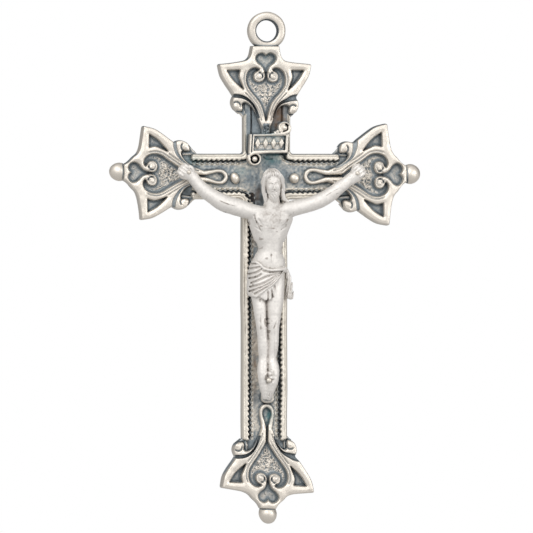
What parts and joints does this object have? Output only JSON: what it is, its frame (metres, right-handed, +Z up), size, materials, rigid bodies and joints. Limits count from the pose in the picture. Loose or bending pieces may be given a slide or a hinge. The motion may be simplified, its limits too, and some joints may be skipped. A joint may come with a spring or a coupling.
{
  "type": "pendant crucifix",
  "caption": "Small flat cross with flared scrolled ends, beaded rims, round finials, a fixed hanging ring, a scroll plaque and a separate cast figure.",
  "frame": {"origin": "crossing of the upright and the side arms, on the flat back of the cross", "axes": "+Z up along the upright to the hanging ring, +X to the viewer's right, +Y out of the back; the figure faces -Y"},
  "size_m": [0.0312, 0.0046, 0.051],
  "materials": {
    "cross_silver": "oxidised silver, dark in the recesses, bright on the rims",
    "terminal_silver": "oxidised silver, dark grainy recesses, rubbed bright bands",
    "bright_silver": "satin bright silver"
  },
  "bodies": {
    "root": {"cross_plate": "cross_silver", "top_terminal": "terminal_silver", "left_terminal": "terminal_silver", "right_terminal": "terminal_silver", "bottom_terminal": "terminal_silver", "left_bead": "terminal_silver", "right_bead": "terminal_silver", "bottom_bead": "terminal_silver", "hanging_ring": "terminal_silver", "left_arm_pearl": "terminal_silver", "right_arm_pearl": "terminal_silver", "titulus": "terminal_silver", "corpus": "bright_silver", "hand_nails": "bright_silver", "foot_nail": "bright_silver", "foot_rest": "cross_silver"}
  },
  "joints": []
}
